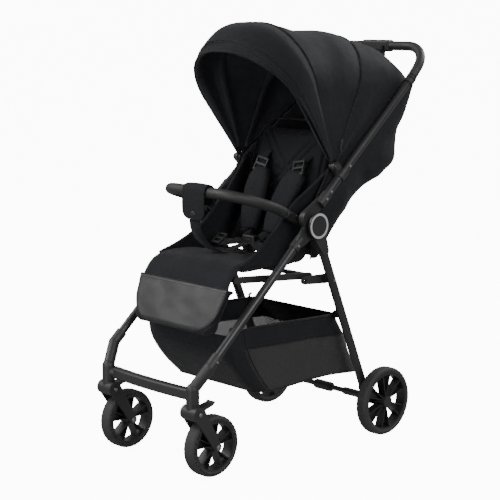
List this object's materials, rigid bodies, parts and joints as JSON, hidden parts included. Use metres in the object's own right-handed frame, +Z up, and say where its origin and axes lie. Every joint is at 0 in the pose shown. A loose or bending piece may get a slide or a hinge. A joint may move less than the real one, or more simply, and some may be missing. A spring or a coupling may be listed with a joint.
{
  "type": "baby stroller",
  "caption": "Compact one-hand fold stroller: straight side tubes, three-panel canopy, bumper bar, calf rest, under-seat basket and swivelling front casters.",
  "frame": {"origin": "on the ground, under the middle of the bounding box", "axes": "+Z up, the child faces -Y, +X across the stroller"},
  "size_m": [0.468, 0.85, 1.0737],
  "materials": {
    "frame_tube": "satin black powder coat",
    "moulding": "fine-grained black nylon",
    "tyre_rubber": "dark foamed rubber",
    "rim_plastic": "semi-gloss black",
    "steel": "darkened steel fasteners",
    "ring_metal": "brushed ring",
    "canopy_fabric": "black melange weave",
    "seat_fabric": "black woven cover",
    "basket_fabric": "black cloth with mesh sides",
    "leatherette": "dark brown-black leatherette",
    "rest_leather": "glossy wipe-clean dark grey"
  },
  "bodies": {
    "front_frame": {"front_tube_left": "frame_tube", "front_tube_right": "frame_tube", "front_crossbar": "moulding", "joint_housing_left": "moulding", "joint_housing_right": "moulding", "main_pivot_bolts": "steel", "joint_caps": "moulding", "joint_rings": "ring_metal", "seat_frame": "frame_tube", "seat_pad": "seat_fabric", "side_walls": "seat_fabric", "basket": "basket_fabric", "harness_buckle": "moulding"},
    "handle_frame": {"upper_tube_left": "frame_tube", "upper_tube_right": "frame_tube", "upper_knuckles": "moulding", "handle_bar": "frame_tube", "handle_grip": "leatherette", "handle_collars": "moulding", "canopy_brackets": "moulding", "fold_housing": "moulding", "back_cover": "canopy_fabric", "canopy_panel_rear": "canopy_fabric"},
    "rear_frame": {"rear_leg_left": "frame_tube", "rear_leg_right": "frame_tube", "rear_knuckles": "moulding", "rear_axle": "frame_tube", "axle_brackets": "moulding", "rear_links": "moulding", "leg_screws": "steel"},
    "brake": {"brake_pedal": "moulding"},
    "fold_trigger_body": {"fold_trigger": "moulding"},
    "fold_lock_body": {"fold_lock": "moulding"},
    "canopy_rear": {"canopy_rear_bow": "frame_tube"},
    "canopy_mid": {"canopy_mid_bow": "frame_tube", "canopy_panel_middle": "canopy_fabric"},
    "canopy_front": {"canopy_front_bow": "frame_tube", "canopy_panel_front": "canopy_fabric"},
    "backrest": {"backrest_pad": "seat_fabric", "shoulder_pads": "seat_fabric"},
    "calf_rest": {"leg_rest": "rest_leather"},
    "bumper": {"bumper_bar": "leatherette", "crotch_strap": "leatherette"},
    "bar_button_left": {"bumper_button_left": "moulding"},
    "bar_button_right": {"bumper_button_right": "moulding"},
    "buckle_push": {"buckle_button": "moulding"},
    "caster_left": {"caster_fork_left": "moulding", "front_axle_left": "steel"},
    "lock_left": {"swivel_lock_left": "moulding"},
    "front_wheel_left": {"front_tyre_left": "tyre_rubber", "front_rim_left": "rim_plastic"},
    "rear_wheel_left": {"rear_tyre_left": "tyre_rubber", "rear_rim_left": "rim_plastic"},
    "caster_right": {"caster_fork_right": "moulding", "front_axle_right": "steel"},
    "lock_right": {"swivel_lock_right": "moulding"},
    "front_wheel_right": {"front_tyre_right": "tyre_rubber", "front_rim_right": "rim_plastic"},
    "rear_wheel_right": {"rear_tyre_right": "tyre_rubber", "rear_rim_right": "rim_plastic"}
  },
  "joints": [
    {"name": "frame_fold", "type": "hinge", "parent": "front_frame", "child": "handle_frame", "pos_m": [0, -0.048, 0.592], "axis": [1, 0, 0], "range_deg": [0, 160], "deforming": ["side_walls", "back_cover"]},
    {"name": "rear_leg_fold", "type": "hinge", "parent": "front_frame", "child": "rear_frame", "pos_m": [0, -0.033, 0.576], "axis": [1, 0, 0], "range_deg": [-48, 0]},
    {"name": "canopy_swing", "type": "hinge", "parent": "handle_frame", "child": "canopy_rear", "pos_m": [0, 0.055, 0.714], "axis": [1, 0, 0], "range_deg": [-92, 0], "deforming": ["canopy_panel_rear"]},
    {"name": "canopy_open", "type": "hinge", "parent": "canopy_mid", "child": "canopy_front", "pos_m": [0, 0.055, 0.714], "axis": [-1, 0, 0], "range_deg": [0, 15], "deforming": ["canopy_panel_front"]},
    {"name": "canopy_mid_fold", "type": "hinge", "parent": "canopy_rear", "child": "canopy_mid", "pos_m": [0, 0.055, 0.714], "axis": [-1, 0, 0], "range_deg": [0, 38], "deforming": ["canopy_panel_middle"]},
    {"name": "backrest_recline", "type": "hinge", "parent": "front_frame", "child": "backrest", "pos_m": [0, -0.01, 0.442], "axis": [1, 0, 0], "range_deg": [-40, 0]},
    {"name": "leg_rest_lift", "type": "hinge", "parent": "front_frame", "child": "calf_rest", "pos_m": [0, -0.262, 0.462], "axis": [1, 0, 0], "range_deg": [-60, 0]},
    {"name": "bumper_swing", "type": "hinge", "parent": "front_frame", "child": "bumper", "pos_m": [0, -0.024, 0.575], "axis": [1, 0, 0], "range_deg": [-60, 20], "deforming": ["crotch_strap"]},
    {"name": "bumper_button_press_left", "type": "slide", "parent": "bumper", "child": "bar_button_left", "axis": [1, 0, 0], "range_m": [0, 0.002], "stiffness_N_per_m": 400},
    {"name": "bumper_button_press_right", "type": "slide", "parent": "bumper", "child": "bar_button_right", "axis": [-1, 0, 0], "range_m": [0, 0.002], "stiffness_N_per_m": 400},
    {"name": "buckle_press", "type": "slide", "parent": "front_frame", "child": "buckle_push", "axis": [0, 1, 0], "range_m": [0, 0.002], "stiffness_N_per_m": 400},
    {"name": "fold_trigger_pull", "type": "slide", "parent": "handle_frame", "child": "fold_trigger_body", "axis": [0, 0, 1], "range_m": [0, 0.0035], "stiffness_N_per_m": 400},
    {"name": "fold_lock_slide", "type": "slide", "parent": "handle_frame", "child": "fold_lock_body", "axis": [1, 0, 0], "range_m": [0, 0.004], "stiffness_N_per_m": 300},
    {"name": "brake_press", "type": "hinge", "parent": "rear_frame", "child": "brake", "pos_m": [0, 0.205, 0.09], "axis": [-1, 0, 0], "range_deg": [0, 18]},
    {"name": "caster_swivel_left", "type": "hinge", "parent": "front_frame", "child": "caster_left", "pos_m": [-0.16, -0.407, 0.2], "axis": [0, 0, 1], "continuous": true},
    {"name": "front_wheel_spin_left", "type": "hinge", "parent": "caster_left", "child": "front_wheel_left", "pos_m": [-0.16, -0.35, 0.075], "axis": [1, 0, 0], "continuous": true},
    {"name": "rear_wheel_spin_left", "type": "hinge", "parent": "rear_frame", "child": "rear_wheel_left", "pos_m": [-0.2155, 0.205, 0.09], "axis": [1, 0, 0], "continuous": true},
    {"name": "swivel_lock_press_left", "type": "hinge", "parent": "caster_left", "child": "lock_left", "pos_m": [-0.16, -0.388, 0.171], "axis": [-1, 0, 0], "range_deg": [0, 12]},
    {"name": "caster_swivel_right", "type": "hinge", "parent": "front_frame", "child": "caster_right", "pos_m": [0.16, -0.407, 0.2], "axis": [0, 0, 1], "continuous": true},
    {"name": "front_wheel_spin_right", "type": "hinge", "parent": "caster_right", "child": "front_wheel_right", "pos_m": [0.16, -0.35, 0.075], "axis": [1, 0, 0], "continuous": true},
    {"name": "rear_wheel_spin_right", "type": "hinge", "parent": "rear_frame", "child": "rear_wheel_right", "pos_m": [0.2155, 0.205, 0.09], "axis": [1, 0, 0], "continuous": true},
    {"name": "swivel_lock_press_right", "type": "hinge", "parent": "caster_right", "child": "lock_right", "pos_m": [0.16, -0.388, 0.171], "axis": [-1, 0, 0], "range_deg": [0, 12]}
  ],
  "couplings": [
    {"joint": "rear_leg_fold", "follows": "frame_fold", "ratio": -0.3},
    {"joint": "canopy_swing", "follows": "frame_fold", "ratio": -0.575},
    {"joint": "canopy_mid_fold", "follows": "canopy_open", "ratio": 2.5}
  ]
}
